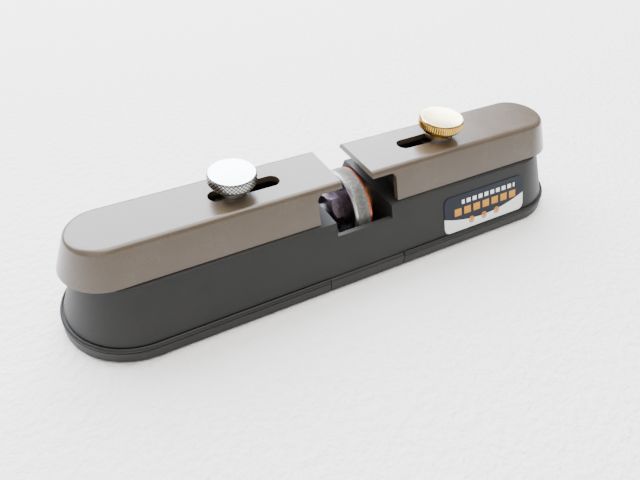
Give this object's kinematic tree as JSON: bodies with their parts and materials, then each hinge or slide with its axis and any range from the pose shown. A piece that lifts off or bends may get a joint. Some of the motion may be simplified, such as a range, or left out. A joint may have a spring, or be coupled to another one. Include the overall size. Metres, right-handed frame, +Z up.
{
  "type": "bench sharpener",
  "caption": "Long round-ended bench sharpener: a small diamond wheel turns in a central pocket between two slotted sliding covers clamped by knurled thumb screws.",
  "frame": {"origin": "centre of the footprint on the bench, under the feet", "axes": "+X along the length towards the cover with the brass screw, -Y towards the labelled front, +Z up"},
  "size_m": [0.2012, 0.048, 0.0439],
  "materials": {
    "housing_plastic": "fine matte",
    "cover_plastic": "satin",
    "rubber": "matte",
    "screw_steel": "plated",
    "label_film": "printed film",
    "insert_brass": "turned",
    "bush_bronze": "sintered",
    "axle_steel": "ground",
    "nut_steel": "dark plated",
    "grit": "diamond grit",
    "bevel_steel": "polished",
    "copper": "copper",
    "knob_steel": "turned and knurled",
    "knob_brass": "turned and knurled"
  },
  "bodies": {
    "base": {"base_housing": "housing_plastic", "base_plate": "housing_plastic", "foot_left_front": "rubber", "foot_left_rear": "rubber", "foot_right_front": "rubber", "foot_right_rear": "rubber", "base_screw_left_front": "screw_steel", "base_screw_left_rear": "screw_steel", "base_screw_right_front": "screw_steel", "base_screw_right_rear": "screw_steel", "label": "label_film", "left_insert": "insert_brass", "right_insert": "insert_brass", "left_bush": "bush_bronze", "right_bush": "bush_bronze"},
    "wheel": {"wheel_axle": "axle_steel", "wheel_hub": "nut_steel", "diamond_rim": "grit", "bevel_ring": "bevel_steel", "backing_ring": "copper", "wheel_nut": "nut_steel", "nut_washer": "nut_steel", "left_spacer": "axle_steel", "right_spacer": "axle_steel"},
    "left_cover_body": {"left_cover": "cover_plastic"},
    "right_cover_body": {"right_cover": "cover_plastic"},
    "left_washer_body": {"left_thumb_washer": "screw_steel"},
    "right_washer_body": {"right_thumb_washer": "screw_steel"},
    "left_screw_body": {"left_thumb_screw": "knob_steel"},
    "right_screw_body": {"right_thumb_screw": "knob_brass"}
  },
  "joints": [
    {"name": "wheel_spin", "type": "hinge", "parent": "base", "child": "wheel", "pos_m": [0, 0, 0.0156], "axis": [1, 0, 0], "continuous": true},
    {"name": "left_cover_slide", "type": "slide", "parent": "base", "child": "left_cover_body", "axis": [1, 0, 0], "range_m": [-0.0138, 0.006]},
    {"name": "right_cover_slide", "type": "slide", "parent": "base", "child": "right_cover_body", "axis": [1, 0, 0], "range_m": [-0.0036, 0.0162]},
    {"name": "left_screw_lift", "type": "slide", "parent": "base", "child": "left_washer_body", "axis": [0, 0, 1], "range_m": [0, 0.0016]},
    {"name": "left_screw_turn", "type": "hinge", "parent": "left_washer_body", "child": "left_screw_body", "pos_m": [-0.0406, 0, 0.04], "axis": [0, 0, 1], "range_deg": [0, 720]},
    {"name": "right_screw_lift", "type": "slide", "parent": "base", "child": "right_washer_body", "axis": [0, 0, 1], "range_m": [0, 0.0016]},
    {"name": "right_screw_turn", "type": "hinge", "parent": "right_washer_body", "child": "right_screw_body", "pos_m": [0.043, 0, 0.04], "axis": [0, 0, 1], "range_deg": [0, 720]}
  ],
  "couplings": [
    {"joint": "left_screw_lift", "follows": "left_screw_turn", "m_per_rad": 0.00012732},
    {"joint": "right_screw_lift", "follows": "right_screw_turn", "m_per_rad": 0.00012732}
  ]
}
